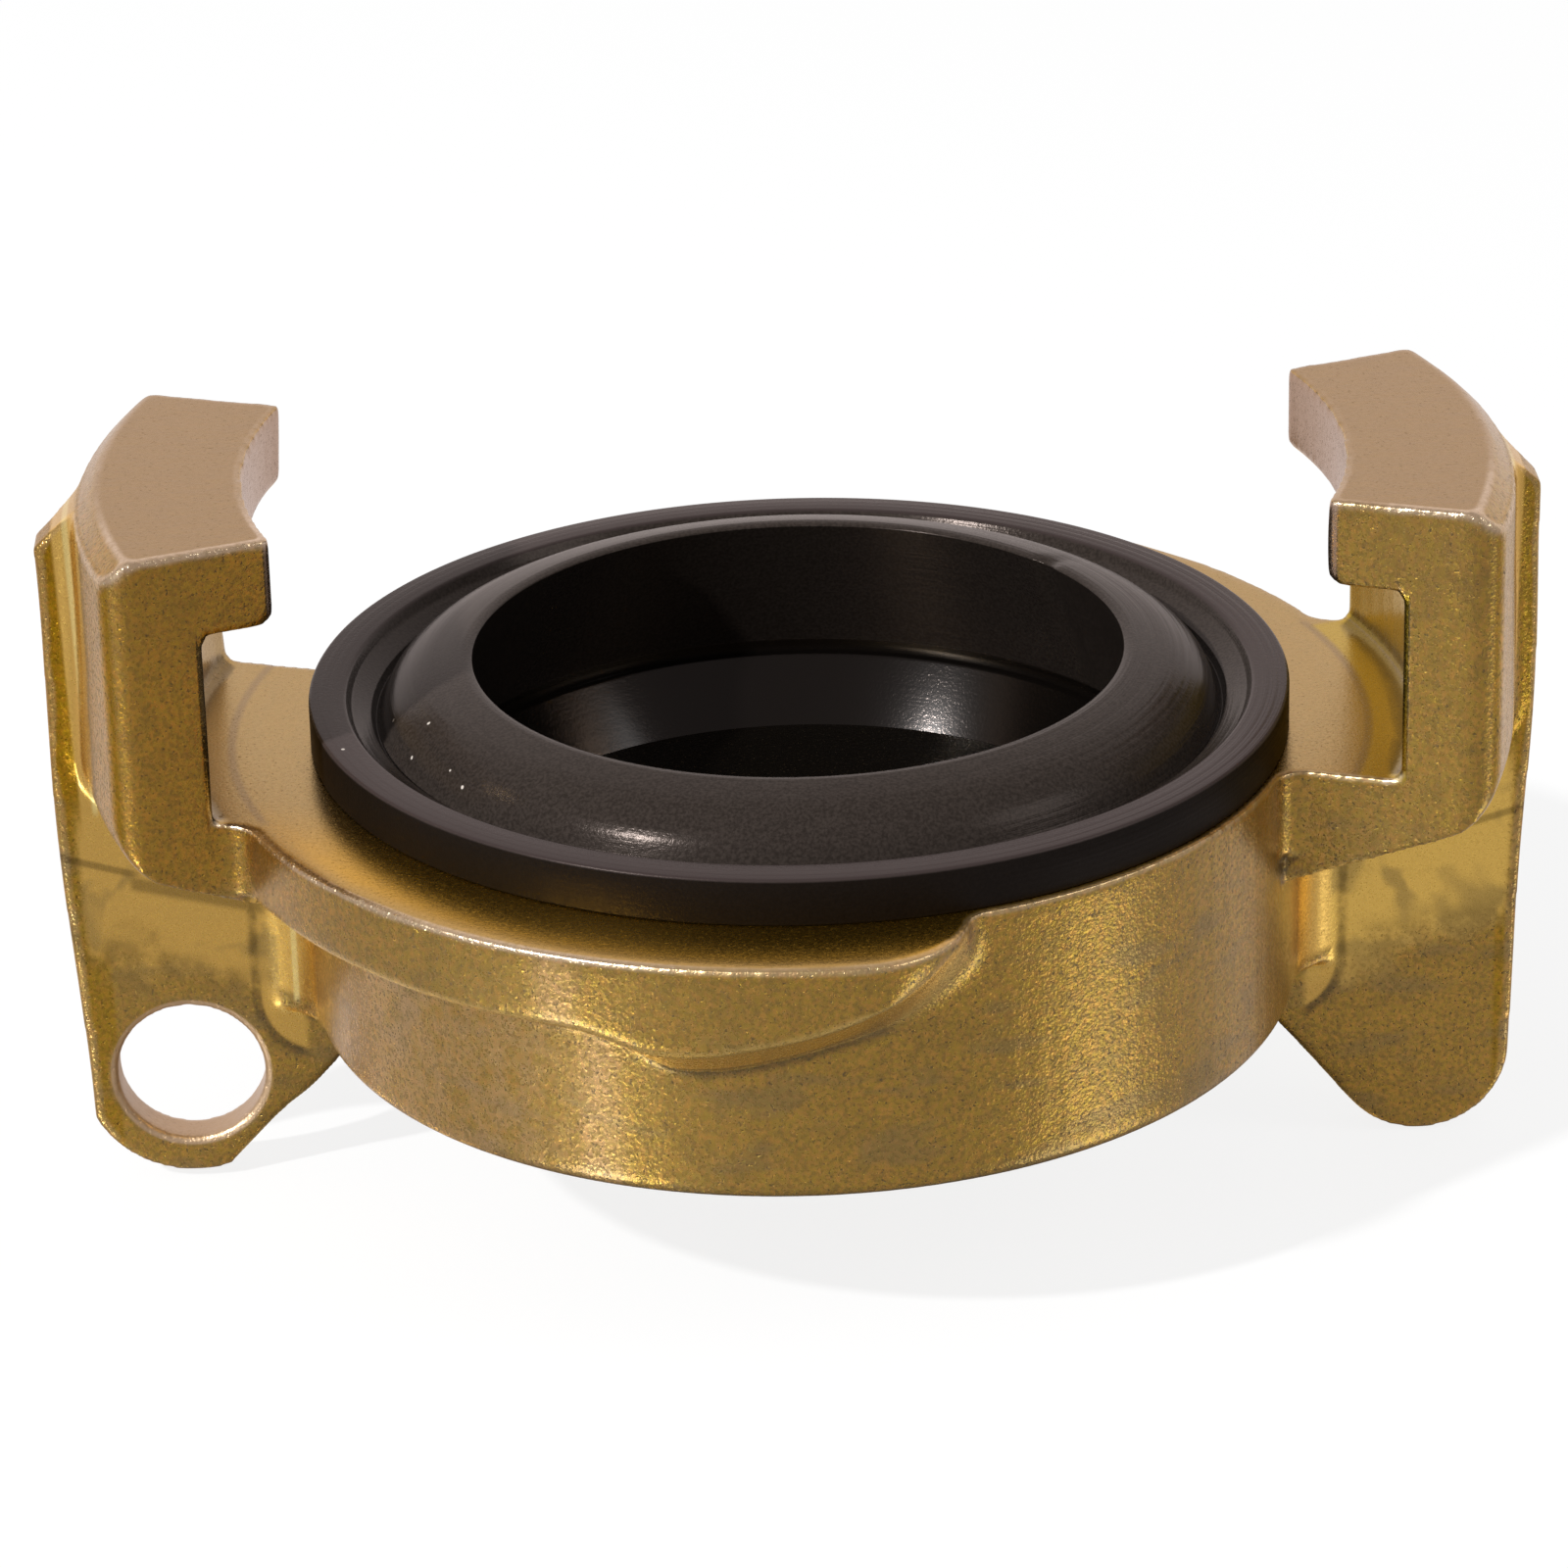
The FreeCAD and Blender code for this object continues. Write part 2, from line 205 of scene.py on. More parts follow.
bodyLook = {
    "voxel": 0.14,            # finest detail that the worn edges keep
    "wear": 0.5,              # how far one smoothing pass moves a point
    "passes": 2,              # on all of it
    "evenings": 12,           # rounds that even it out and keep its size
    "pushBack": 1.04,         # how much further each of them goes back out
    "quickFactor": 2.0,
    "weld": 2e-6,             # m, points this near are one
    "triangles": 190000,
    "faceWeight": 80,         # how much the flat faces rule the shading
    "shrink": 0.9998,         # keeps the evened surface inside the CAD box
    "hollowBlur": {"hollow": 4, "shelter": 14},     # rounds of blurring on the maps of corners
    "blur": {"radius": 0.3, "height": 0.3, "angle": 3.0, "side": 0.6, "depth": 0.2},
    # further passes where the forging is rounder. Angles run from 0 to 180 on both halves,
    # side is the distance from the middle plane of the cap, depth that from the fins' plane
    "zones": {
        "ramp": (26, {"radius": (16.4, 20.4), "height": (-4.9, -1.9), "angle": (27, 104)}),
        "rampEnd": (40, {"radius": (16.6, 19.6), "height": (-3.6, -0.7), "angle": (99, 110)}),
        "rim": (18, {"radius": (19.0, 20.4), "height": (-1.2, 0.2), "angle": (23, 112)}),
        "clawTop": (9, {"radius": (19.6, 27.0), "height": (9.2, 10.5)}),
        "bores": (7, {"radius": (18.3, 18.9), "height": (6.0, 10.5), "side": (14.0, 22.0)}),
        "clawSide": (9, {"radius": (22.9, 24.3), "height": (-1.0, 8.8)}),
        "fin": (5, {"side": (18.2, 26.0), "height": (-17.0, 8.0), "depth": (0.0, 1.0)}),
        "foot": (12, {"radius": (15.5, 17.2), "height": (-10.2, -9.1)}),
    },
    # what is out of true on the real one: middle of the corner, reach around it, move
    "pulls": [
        ((-18.6, 6.8, 4.5), 7.0, (-0.33, 0.0, 0.0)),
        ((17.4, -6.3, 8.3), 3.5, (-0.12, 0.0, 0.0)),
        ((22.7, 8.3, 9.6), 4.0, (-0.17, 0.0, 0.0)),
        ((-25.3, 0.0, -3.0), 10.0, (-0.27, 0.0, 0.0)),
        ((25.0, 0.0, 0.5), 8.0, (0.2, 0.0, 0.0)),
    ],
    "footDrop": -0.12,        # how far the underside is moved
    "footLean": 0.5,          # degrees that it leans to the left
    "footHeight": -9.1,       # it is what lies below this
    "footRadius": 17.1,       # and nearer to the axis than this
    "footBlend": 2.5,         # how far above it the wall gives way
}


def between(value, low, high, blur):
    # 1 from low to high, 0 further out than the blur
    return max(0.0, min(1.0, (value - low) / blur + 1, (high - value) / blur + 1))


def shareInZone(where, x, y, z):
    place = {"radius": math.hypot(x, y), "height": z, "side": abs(x), "depth": abs(y),
             "angle": math.degrees(math.atan2(y, x)) % 180}
    share = 1.0
    for name, (low, high) in where.items():
        share *= between(place[name], low, high, bodyLook["blur"][name])
    return share


def softenZone(piece, name, passes, where):
    # Wears one zone of the surface, less towards its border
    group = piece.vertex_groups.new(name=name)
    shares = {}
    for vertex in piece.data.vertices:
        share = round(shareInZone(where, *vertex.co), 1)
        if share > 0:
            shares.setdefault(share, []).append(vertex.index)
    for share, indices in shares.items():
        group.add(indices, share, "REPLACE")
    applyModifier(piece, "SMOOTH", factor=bodyLook["wear"], iterations=passes, vertex_group=name)
    piece.vertex_groups.remove(piece.vertex_groups[name])


def selectVertices(piece, chosen):
    # Leaves the piece in edit mode with the vertices where chosen(place) holds
    bpy.ops.mesh.select_mode(type="VERT")
    bpy.ops.mesh.select_all(action="DESELECT")
    leaveEdit()
    for vertex in piece.data.vertices:
        vertex.select = chosen(vertex.co)
    bpy.ops.object.mode_set(mode="EDIT")


def pullNearest(piece, middle, reach, move):
    # Moves the vertex nearest to the middle, and less and less what lies around it
    nearest = min((vertex.co - middle).length for vertex in piece.data.vertices)
    hair = 1e-4 * nearest + 1e-9
    selectVertices(piece, lambda place: (place - middle).length < nearest + hair)
    bpy.ops.transform.translate(value=move, use_proportional_edit=True,
                                proportional_edit_falloff="SMOOTH", proportional_size=reach)


def pullOutOfTrue(piece):
    for middle, reach, move in bodyLook["pulls"]:
        pullNearest(piece, Vector(middle), reach, move)
    selectVertices(piece, lambda place: place.z < bodyLook["footHeight"]
                   and place.xy.length < bodyLook["footRadius"])
    smoothly = {"use_proportional_edit": True, "proportional_edit_falloff": "SMOOTH",
                "proportional_size": bodyLook["footBlend"]}
    bpy.ops.transform.translate(value=(0, 0, bodyLook["footDrop"]), **smoothly)
    bpy.ops.transform.rotate(value=math.radians(bodyLook["footLean"]), orient_axis="Y",
                             center_override=(0, 0, bodyLook["footHeight"]), **smoothly)


def markHollowness(piece):
    # Writes how hollow the surface is at each vertex, from its neighbours: above 0 in a
    # corner, below 0 on an edge. The finish reads it for worn edges and for painted shade in corners
    count = len(piece.data.vertices)
    places = np.empty(count * 3)
    normals = np.empty(count * 3)
    ends = np.empty(len(piece.data.edges) * 2, dtype=int)
    piece.data.vertices.foreach_get("co", places)
    piece.data.vertices.foreach_get("normal", normals)
    piece.data.edges.foreach_get("vertices", ends)
    places, normals, ends = places.reshape(-1, 3), normals.reshape(-1, 3), ends.reshape(-1, 2)
    ends = np.concatenate([ends, ends[:, ::-1]])
    here, there = ends[:, 0], ends[:, 1]
    along = places[there] - places[here]
    along /= np.linalg.norm(along, axis=1, keepdims=True)
    neighbours = np.bincount(here, minlength=count)
    hollow = np.bincount(here, (along * normals[here]).sum(axis=1), count) / neighbours
    for name, rounds in bodyLook["hollowBlur"].items():
        blurred = hollow
        for _ in range(rounds):
            blurred = (blurred + np.bincount(here, blurred[there], count) / neighbours) / 2
        layer = piece.data.attributes.new(name, "FLOAT", "POINT")
        layer.data.foreach_set("value", blurred)


def makeBody():
    deselectAll()
    node = frame["nodes"]["cap_body"]
    node.select_set(True)
    bpy.context.view_layer.objects.active = node
    bpy.ops.object.duplicate()
    piece = bpy.context.active_object
    piece.name = "brassBody"
    piece.parent = None
    for name in ("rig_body", "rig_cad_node"):      # the copy is no CAD node any more
        if name in piece:
            del piece[name]
    editAll(piece)
    bpy.ops.mesh.remove_doubles(threshold=bodyLook["weld"])
    bpy.ops.transform.resize(value=(1 / mm, 1 / mm, 1 / mm), center_override=(0, 0, 0))
    leaveEdit()
    coarser = 1.0
    applyModifier(piece, "REMESH", mode="VOXEL", voxel_size=bodyLook["voxel"] * coarser,
                  use_smooth_shade=True)
    editAll(piece)
    pullOutOfTrue(piece)
    leaveEdit()
    wear = bodyLook["wear"]
    applyModifier(piece, "SMOOTH", factor=wear, iterations=bodyLook["passes"])
    for _ in range(bodyLook["evenings"]):
        applyModifier(piece, "SMOOTH", factor=wear, iterations=1)
        applyModifier(piece, "SMOOTH", factor=-wear * bodyLook["pushBack"], iterations=1)
    for name, (passes, where) in bodyLook["zones"].items():
        softenZone(piece, name, math.ceil(passes / coarser ** 2), where)
    count = sum(len(face.vertices) - 2 for face in piece.data.polygons)
    if count > bodyLook["triangles"]:
        applyModifier(piece, "DECIMATE", ratio=bodyLook["triangles"] / count)
    editAll(piece)
    bpy.ops.transform.resize(value=(mm * bodyLook["shrink"],) * 3, center_override=(0, 0, 0))
    leaveEdit()
    bpy.ops.object.shade_smooth()
    applyModifier(piece, "WEIGHTED_NORMAL", weight=bodyLook["faceWeight"])
    markHollowness(piece)
    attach(piece, "root")
    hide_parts("cap_body")
    return piece


sealShape = {
    "segments": 256,
    # the section once round, outwards from the foot: radius, height, rounding
    "section": [
        (12.0, -5.4, 0.0), (14.95, -5.4, 0.0), (14.95, -0.95, 0.0), (14.25, -0.95, 0.0),
        (14.25, 0.0, 0.0), (16.72, 0.0, 0.08), (16.72, 1.62, 0.12), (15.47, 1.62, 0.1),
        (15.28, 1.25, 0.08), (14.6, 0.97, 0.05), (14.45, 0.72, 0.03), (14.3, 0.97, 0.05),
        (13.9, 1.75, 0.4), (12.95, 2.48, 0.5), (11.35, 2.83, 0.2), (11.08, 2.72, 0.06),
        (13.4, -3.0, 0.3),
    ],
    "weld": 1e-6,             # m, points this near are one
    "near": 2e-6,             # m, how near to a ring its points are
    "roundSteps": 4,
    "creaseAngle": 35,        # degrees, sharper edges stay creases
    "nick": {"middle": (9.0, 6.7, 2.8), "reach": 0.8, "move": (0.24, 0.17, -0.14)},
}


def selectRing(piece, radius, height):
    # Selects the one edge loop at this radius and height
    bpy.ops.mesh.select_all(action="DESELECT")
    bpy.ops.object.mode_set(mode="OBJECT")
    near = sealShape["near"]
    on = [abs(vertex.co.z - height * mm) < near and abs(vertex.co.xy.length - radius * mm) < near
          for vertex in piece.data.vertices]
    for edge in piece.data.edges:
        edge.select = on[edge.vertices[0]] and on[edge.vertices[1]]
    bpy.ops.object.mode_set(mode="EDIT")
    bpy.ops.mesh.select_mode(type="EDGE")


def makeSeal():
    rings = sealShape["section"]
    deselectAll()
    radius, height, _ = rings[0]
    bpy.ops.mesh.primitive_circle_add(vertices=sealShape["segments"], radius=radius * mm,
                                      location=(0, 0, height * mm))
    piece = bpy.context.active_object
    piece.name = "rubberSeal"
    bpy.ops.object.transform_apply(location=True, rotation=True, scale=True)
    editAll(piece)
    for nextRadius, nextHeight, _ in rings[1:] + rings[:1]:
        bpy.ops.mesh.extrude_edges_move()
        grow = nextRadius / radius
        bpy.ops.transform.resize(value=(grow, grow, 1))
        bpy.ops.transform.translate(value=(0, 0, (nextHeight - height) * mm))
        radius, height = nextRadius, nextHeight
    bpy.ops.mesh.select_all(action="SELECT")
    bpy.ops.mesh.remove_doubles(threshold=sealShape["weld"])
    bpy.ops.mesh.normals_make_consistent(inside=False)
    for radius, height, rounding in rings:
        if rounding > 0:
            selectRing(piece, radius, height)
            bpy.ops.mesh.bevel(offset=rounding * mm, segments=sealShape["roundSteps"],
                               affect="EDGES")
    nick = sealShape["nick"]
    pullNearest(piece, Vector(nick["middle"]) * mm, nick["reach"] * mm, Vector(nick["move"]) * mm)
    leaveEdit()
    bpy.ops.object.shade_smooth_by_angle(angle=math.radians(sealShape["creaseAngle"]))
    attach(piece, "root")
    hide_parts("seal_ring")
    return piece


brassLook = {
    "olive": (0.455, 0.300, 0.030), "orange": (0.56, 0.31, 0.048), "brown": (0.22, 0.145, 0.03),
    "stain": (0.25, 0.19, 0.08), "pit": (0.09, 0.06, 0.02),
    "top": (0.355, 0.245, 0.125),           # ends of the claws: worn, and paler from a painted sheen of the light from above
    "machined": (0.43, 0.31, 0.125),        # flange face and the floor of the left slot
    "gold": (0.80, 0.53, 0.14),             # what the tumbling could not reach
    "paintedLitGold": (1.0, 0.70, 0.17),        # the same, made lighter on the right fin: painted light on that side
    "slotGold": (0.52, 0.37, 0.035),        # the right slot
    "paintedUnderReflection": (0.95, 0.70, 0.22),        # painted reflection of the bright floor under the wings' rims
    "paintedStreak": (1.0, 0.85, 0.35),            # painted highlights: bright lines along the fins' roots and a flare's edge
    "glow": (0.92, 0.60, 0.30),             # painted highlight in a stripe on the left of the wall, and pale patches beside it
    "nearSeal": (0.72, 0.42, 0.045),        # deeper orange on the face in front of the seal's lip
    # the pale edge colour is worn edges with a painted highlight on them
    "edge": (0.84, 0.72, 0.58), "bore": (0.43, 0.31, 0.225), "eye": (0.46, 0.32, 0.18),
    # the darker colours here: a thin ring on the face near the slots, and dark lines with painted shade
    # in corners and coves and painted shadow under the claws
    "darkFaceRing": (0.24, 0.17, 0.10), "dirtAndShade": (0.035, 0.022, 0.01),
    "cupShade": (0.06, 0.045, 0.03),             # painted shade on the floor inside the cup
    "tarnish": (0.94, 0.84, 0.3),           # multiplies what is under it
    "rough": 0.26, "bumpStrength": 0.8, "bump": 0.00003,    # bump in metres
    "film": 0.8, "filmRough": 0.3,          # thin oxide on the skin
    "stripeAngle": 25.6,                    # degrees, where the painted highlight stripe on the wall is
}

# Textures of the brass: stretch along the axes, scale, detail, roughness, distortion
brassTextures = {
    "mottle": ((1.0, 1.0, 1.0), 1.3, 3.0, 0.6),
    "hue": ((1.0, 1.0, 1.0), 5.0, 2.0, 0.6),
    "grain": ((1.0, 1.0, 1.0), 6.0, 2.0, 0.6),
    "pitNoise": ((1.0, 1.0, 1.0), 8.5, 1.0, 0.5),
    "dents": ((1.0, 1.0, 1.0), 9.0, 1.0, 0.5),
    "stain": ((0.35, 0.35, 1.0), 0.9, 2.0, 0.5, 0.2),
    "finStain": ((1.0, 1.0, 1.0), 0.45, 2.0, 0.5, 0.4),
    "brushed": ((0.5, 2.0, 2.0), 2.0, 3.0, 0.6),
}
turnedTexture = (2.5, 2.0, 0.6)             # the same of the turning marks on the face

# Lines and round marks on the fins
finMarks = {
    # side and height of one point of a slanting line, and its slope
    "lines": {"press": (19.6, -8.9, 0.29), "underClaw": (22.6, -5.0, 0.24),
              "underRoot": (25.0, -3.95, 0.29)},
    "pressWaver": 4.0, "rootWaver": 1.5,    # how far the stains shift them
    "topHeight": 9.8, "draft": 0.032,       # the fins' outer edges lean in upwards
    "skew": 0.008,
    "flareSide": 16.8, "flareSkew": 0.011, "flareWidth": 1.95,
    "flareHeight": -9.3, "flareDrop": 2.2,  # below this height the flare is rounded off
    "eye": (21.5, -12.2),                   # side and height of its middle
}

# Where each finish of the brass shows. addLengths says what the lengths are
brassZones = {
    "edge": {"hollow": (-0.018, -0.055)},
    "corner": {"hollow": (0.06, 0.16)},
    "cove": {"shelter": (0.01, 0.04), "facing": (-0.6, -0.35)},
    "level": {"facing": (0.6, 0.93)},
    "clawTop": {"height": (8.0, 9.0)},
    "faceHeight": {"height": (-0.25, 0.25, 0.2)},
    "plate": {"depth": (1.0, 0.9), "radius": (17.2, 17.6), "height": (-1.0, -1.6)},
    "lowFinEdge": {"outwards": (24.95, 25.3), "height": (-1.0, -3.5)},
    "highFinEdge": {"outwards": (24.8, 24.95), "height": (-3.5, -1.0)},
    "abovePress": {"press": (-1.2, 0.7)},
    "flare": {"radius": (17.15, 19.3, 0.12), "height": (-8.9, -4.0, 0.4), "depth": (0.85, 3.2, 0.3)},
    "root": {"radius": (24.05, 24.15), "fromRoot": (4.9, 3.6), "height": (-2.0, 8.9, 0.4)},
    "underRim": {"facing": (-0.1, -0.6), "radius": (16.9, 17.4)},
    "insideRim": {"radius": (20.4, 19.8)},
    "bore": {"radius": (18.3, 18.7, 0.1), "height": (6.6, 7.0), "facing": (-0.4, 0.4, 0.3)},
    "slotWall": {"radius": (20.8, 21.15, 0.1), "height": (0.1, 6.6, 0.2), "facing": (-0.4, 0.6, 0.3)},
    "lowPlate": {"height": (-3.0, -3.6)},
    "insideFlare": {"flareEdge": (1.02, 0.96)},
    "orange": {"hue": (0.38, 0.66)},
    "brownPatch": {"mottle": (0.4, 0.75)},
    "patchy": {"mottle": (0.3, 0.6)},
    "pits": {"pitNoise": (0.62, 0.74)},
    "stained": {"stain": (0.5, 0.66), "height": (-1.0, -3.0)},
    "finStained": {"finStain": (0.5, 0.62), "height": (-1.0, -3.0)},
    # where the painted highlight stripe lies on the wall
    "stripe": {"fromStripe": (-0.15, 0.15, 1.1), "y": (-8.0, -10.0), "height": (0.0, -0.3)},
    "paleWall": {"fromStripe": (-1.0, 4.0), "y": (0.0, -4.0), "height": (-3.0, -4.5),
                 "radius": (17.4, 17.1)},
    "hookFront": {"radius": (19.5, 20.5), "height": (5.5, 7.0), "hue": (0.3, 0.7)},
    "rightFin": {"x": (-5.0, 5.0)},
    "rightHalf": {"x": (-1.0, 1.0)},
    "leftHalf": {"x": (1.0, -1.0)},
    "rootStreak": {"outwards": (24.3, 24.4, 0.12), "depth": (2.0, 1.5)},
    "flareStreak": {"x": (-17.72, -17.6, 0.08), "height": (-9.2, -6.4, 0.3), "depth": (2.5, 2.0)},
    "nearSeal": {"radius": (20.0, 18.9), "y": (-5.0, -12.0)},
    "slotFloor": {"radius": (19.3, 19.7), "slotAngle": (0.37, 0.35)},
    # a dark thin ring on the face near the slots
    "darkFaceRing": {"radius": (19.38, 19.45, 0.22), "slotAngle": (0.42, 0.36)},
    "coarseGrain": {"grain": (0.4, 0.66)},
    "tarnish": {"x": (-13.0, -18.0), "height": (-4.0, -1.0)},
    "eye": {"fromEye": (2.85, 2.75)},
    "upperEdge": {"facing": (-0.05, 0.3)},
    "clawEdge": {"radius": (24.0, 24.3)},
    "dullRim": {"radius": (20.5, 20.2), "x": (-8.0, -3.0)},
    "frontEdge": {"y": (-2.0, -6.0)},
    "keenRim": {"height": (-0.5, 0.3, 0.3), "hollow": (-0.07, -0.03)},
    "roughRim": {"height": (-0.6, 0.3, 0.2), "x": (-8.0, -3.0)},
    "underClawLine": {"underClaw": (-0.1, 0.1, 0.3), "x": (-23.0, -18.8, 0.3)},
    "underRootLine": {"underRoot": (-0.06, 0.06, 0.15), "side": (22.6, 23.2)},
    "pressLine": {"press": (-0.2, 0.2, 0.9), "side": (18.8, 19.8)},
    "rootLine": {"fromRoot": (4.4, 4.6, 0.4), "radius": (24.0, 24.1), "height": (-1.0, 8.5, 0.5)},
    "flareLine": {"flareEdge": (1.04, 1.08, 0.12)},
    "inCup": {"radius": (13.6, 13.2), "height": (-8.0, -5.3, 0.3)},
    "noFilm": {"radius": (23.9, 24.1)},
}


def placeOnPiece(bench, zones):
    # Object coordinates in millimetres, and the first lengths that the zones are given in
    coords = bench.add("ShaderNodeTexCoord", output="Object")
    where = bench.scaled(coords, 1 / mm)
    surface = Surface(zones)
    surface["x"] = bench.add("ShaderNodeSeparateXYZ", None, {0: where}, "X")
    surface["y"] = bench.other(surface["x"], "Y")
    surface["height"] = bench.other(surface["x"], "Z")
    surface["radius"] = bench.vector("LENGTH", bench.vector("MULTIPLY", where, (1.0, 1.0, 0.0)))
    normal = bench.other(coords, "Normal")
    surface["facing"] = bench.add("ShaderNodeSeparateXYZ", None, {0: normal}, "Z")  # 1 is upwards
    return where, surface


def addTextures(bench, where, surface):
    for name in ("hollow", "shelter"):
        surface[name] = bench.add("ShaderNodeAttribute", {"attribute_name": name}, output="Fac")
    for name, (stretch, *grain) in brassTextures.items():
        surface[name] = bench.noise(bench.vector("MULTIPLY", where, stretch), *grain)
    along = bench.add("ShaderNodeCombineXYZ", None, {0: surface["radius"], 1: surface["mottle"]})
    surface["turned"] = bench.noise(along, *turnedTexture)


def addLengths(surface):
    # Side and depth are counted from the cap's two middle planes, the lines' heights from the
    # lines, flareEdge is 1 on the rim of a flare, and outwards is 25.5 on a fin's outer edge
    x, y, height = surface["x"], surface["y"], surface["height"]
    side, depth = abs(x), abs(y)
    surface["side"], surface["depth"] = side, depth
    for name, (across, level, slope) in finMarks["lines"].items():
        surface[name] = height - level - (side - across) * slope
    waver = surface["finStain"] - 0.5
    surface["press"] = surface["press"] + waver * finMarks["pressWaver"]
    surface["fromRoot"] = depth + waver * finMarks["rootWaver"]
    lean = (finMarks["topHeight"] - height) * finMarks["draft"]
    surface["outwards"] = side + lean + x * finMarks["skew"]
    across = (side + x * finMarks["flareSkew"] - finMarks["flareSide"]) / finMarks["flareWidth"]
    below = (height - finMarks["flareHeight"]).least(0.0) / finMarks["flareDrop"]
    surface["flareEdge"] = (across ** 2 + below ** 2) ** 0.5
    surface["slotAngle"] = depth / side
    turn = math.radians(brassLook["stripeAngle"])
    surface["fromStripe"] = y * math.sin(turn) - x * math.cos(turn)
    eyeSide, eyeHeight = finMarks["eye"]
    surface["fromEye"] = ((side - eyeSide) ** 2 + (height - eyeHeight) ** 2) ** 0.5


def addMasks(surface):
    # The places that several layers share
    at = surface.at
    offFinEdge = 1.0 - (at("lowFinEdge") + at("highFinEdge"))
    surface["plate"] = at("plate")
    surface["besideFlare"] = surface["plate"] * at("lowPlate")
    surface["inFin"] = surface["plate"] * at("abovePress") * offFinEdge
    surface["onRoot"] = at("root") * offFinEdge
    surface["level"] = at("level")
    surface["onTop"] = surface["level"] * at("clawTop")
    surface["onFace"] = surface["level"] * at("faceHeight")
    surface["underRim"] = at("underRim") * at("insideRim")
    surface["bore"] = at("bore")
    surface["slotWall"] = at("slotWall")
    surface["patchy"] = at("patchy")
    surface["pits"] = at("pits")
    surface["inEye"] = at("eye") * at("leftHalf")
    surface["edge"] = at("edge")
    golden = surface["inFin"].most(at("flare")).most(surface["onRoot"])
    surface["golden"] = golden.most(surface["besideFlare"] * at("insideFlare"))
    smooth = surface["golden"].most(surface["onFace"]).most(surface["onTop"])
    smooth = smooth.most(surface["underRim"] * 0.8).most(surface["bore"])
    surface["smooth"] = smooth.most(surface["slotWall"])


def wornEdgesWithGlint(surface):
    # Edges that wear keeps pale, with a painted highlight on them that is strongest in front
    at = surface.at
    bare = surface["edge"] * at("upperEdge").most(at("clawEdge"))
    bare = bare * (1.0 - at("dullRim") * 0.5)
    return bare * (0.25 + at("frontEdge") * 0.75) * (1.0 - at("keenRim"))


def darkLinesAndShade(surface):
    # The dark lines on the fins and claws, partly marks and stains, partly painted shadow in the gap
    # under the claws, and painted shade in the corners and the coves
    at = surface.at
    plate, patchy = surface["plate"], surface["patchy"]
    # painted shadow along the gap under the claws
    darkened = plate * at("underClawLine") * 0.45
    for share in (plate * at("underRootLine") * 0.45,
                  plate * at("pressLine") * patchy * 0.3,
                  at("rootLine") * 0.4,
                  surface["besideFlare"] * at("flareLine") * (0.15 + patchy * 0.4),
                  # painted shade in the corners and, next, in the coves
                  at("corner") * 0.8,
                  at("cove") * (1.0 - surface["golden"]) * 0.6):
        darkened = darkened.most(share)
    return darkened


def brassShade(bench, surface):
    at = surface.at
    grain, mottle, smooth = surface["grain"], surface["mottle"], surface["smooth"]
    inFin, onFace, slotWall = surface["inFin"], surface["onFace"], surface["slotWall"]
    # painted highlight along the fins' roots and the edge of the left flare
    paintedStreak = (at("rootStreak") * surface["onRoot"]).most(at("flareStreak"))
    layers = (
        # colour, strength, where, from the lowest layer up
        ("brown", 0.4, at("brownPatch")),
        ("stain", 0.45, at("stained")),
        # painted highlight: a bright stripe where the key lamp shows in the wall
        ("glow", 0.8, at("stripe") * (surface["hue"] - 0.1)),
        ("glow", 0.3, at("paleWall") * surface["patchy"]),
        ("brown", 0.3, at("hookFront") * (1.0 - surface["level"])),
        ("gold", 0.9, surface["golden"]),
        # painted light: the right fin lighter than the left
        ("paintedLitGold", 0.9, inFin * at("rightFin")),
        # painted reflection of the floor on the undersides of the rims
        ("paintedUnderReflection", 1.0, surface["underRim"]),
        ("stain", 0.5, at("finStained") * inFin),
        ("paintedStreak", 0.8, paintedStreak),
        ("machined", 1.0, onFace * (0.92 - surface["turned"] * 0.2)),
        # worn claw ends, with a painted sheen of the light from above on these up-facing faces
        ("top", 1.0, surface["onTop"] * (1.05 - surface["brushed"] * 0.3)),
        ("bore", 1.0, surface["bore"]),
        ("machined", 1.0, slotWall),
        ("slotGold", 1.0, slotWall * at("rightHalf")),
        ("nearSeal", 1.0, onFace * at("nearSeal") * (1.1 - mottle * 0.4)),
        ("slotGold", 0.85, onFace * at("slotFloor") * at("rightHalf")),
        ("darkFaceRing", 0.5, onFace * at("darkFaceRing")),
        ("brown", 1.0, at("coarseGrain") * (0.6 - smooth * 0.52)),
        ("pit", 1.0, surface["pits"] * (0.8 - smooth * 0.6)),
        ("tarnish", 0.9, at("tarnish") * (1.0 - smooth)),
        ("eye", 1.0, surface["inEye"]),
        # worn edges, with a painted highlight strongest in front
        ("edge", 1.0, wornEdgesWithGlint(surface) * (0.8 - grain * 0.6)),
        ("dirtAndShade", 1.0, darkLinesAndShade(surface)),
        # painted shade deep inside the cup
        ("cupShade", 0.9, at("inCup")),
    )
    shade = bench.mix(at("orange"), brassLook["olive"], brassLook["orange"])
    for colour, strength, share in layers:
        blend = "MULTIPLY" if colour == "tarnish" else "MIX"
        shade = bench.mix(share * strength, shade, brassLook[colour], blend)
    return shade


